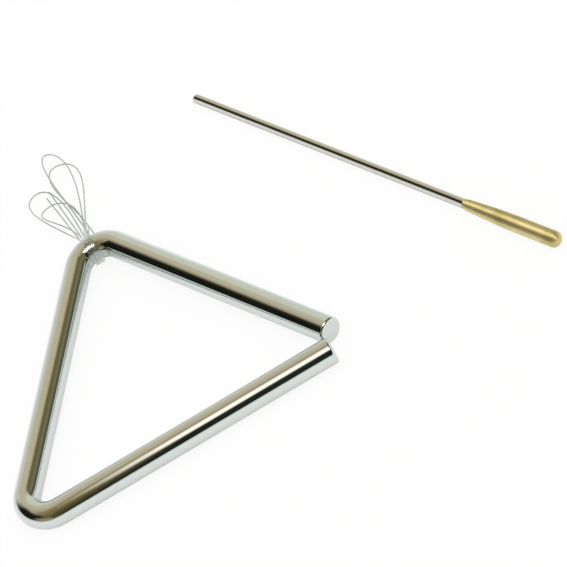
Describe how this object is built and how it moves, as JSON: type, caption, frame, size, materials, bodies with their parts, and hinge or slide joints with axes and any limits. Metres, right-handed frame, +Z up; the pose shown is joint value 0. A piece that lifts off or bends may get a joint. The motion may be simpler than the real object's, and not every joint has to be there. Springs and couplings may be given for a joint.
{
  "type": "triangle instrument",
  "caption": "Bent round steel triangle bar, open at one corner, with clear nylon hanging lines and a steel beater with a turned brass handle.",
  "frame": {"origin": "on the table, in the middle of the ground that the triangle bar and the beater cover", "axes": "+X along the base leg towards the open corner, +Y towards the corner that hangs from the lines, +Z up from the table"},
  "size_m": [0.2598, 0.2201, 0.0162],
  "materials": {
    "bar_chrome": "polished chrome plate on steel",
    "rod_chrome": "bright chrome plate on steel",
    "brass": "fine turned",
    "nylon": "clear drawn line"
  },
  "bodies": {
    "triangle": {"triangle_bar": "bar_chrome"},
    "lines": {"main_line": "nylon", "safety_line": "nylon"},
    "beater": {"beater_rod": "rod_chrome", "beater_handle": "brass"}
  },
  "joints": [
    {"name": "lines_swing", "type": "hinge", "parent": "triangle", "child": "lines", "pos_m": [-0.0503, 0.04062, 0.00742], "axis": [1, 0, 0], "range_deg": [0, 90]},
    {"name": "beater_lift", "type": "slide", "parent": "triangle", "child": "beater", "axis": [0, 0, 1], "range_m": [0, 0.1]}
  ]
}
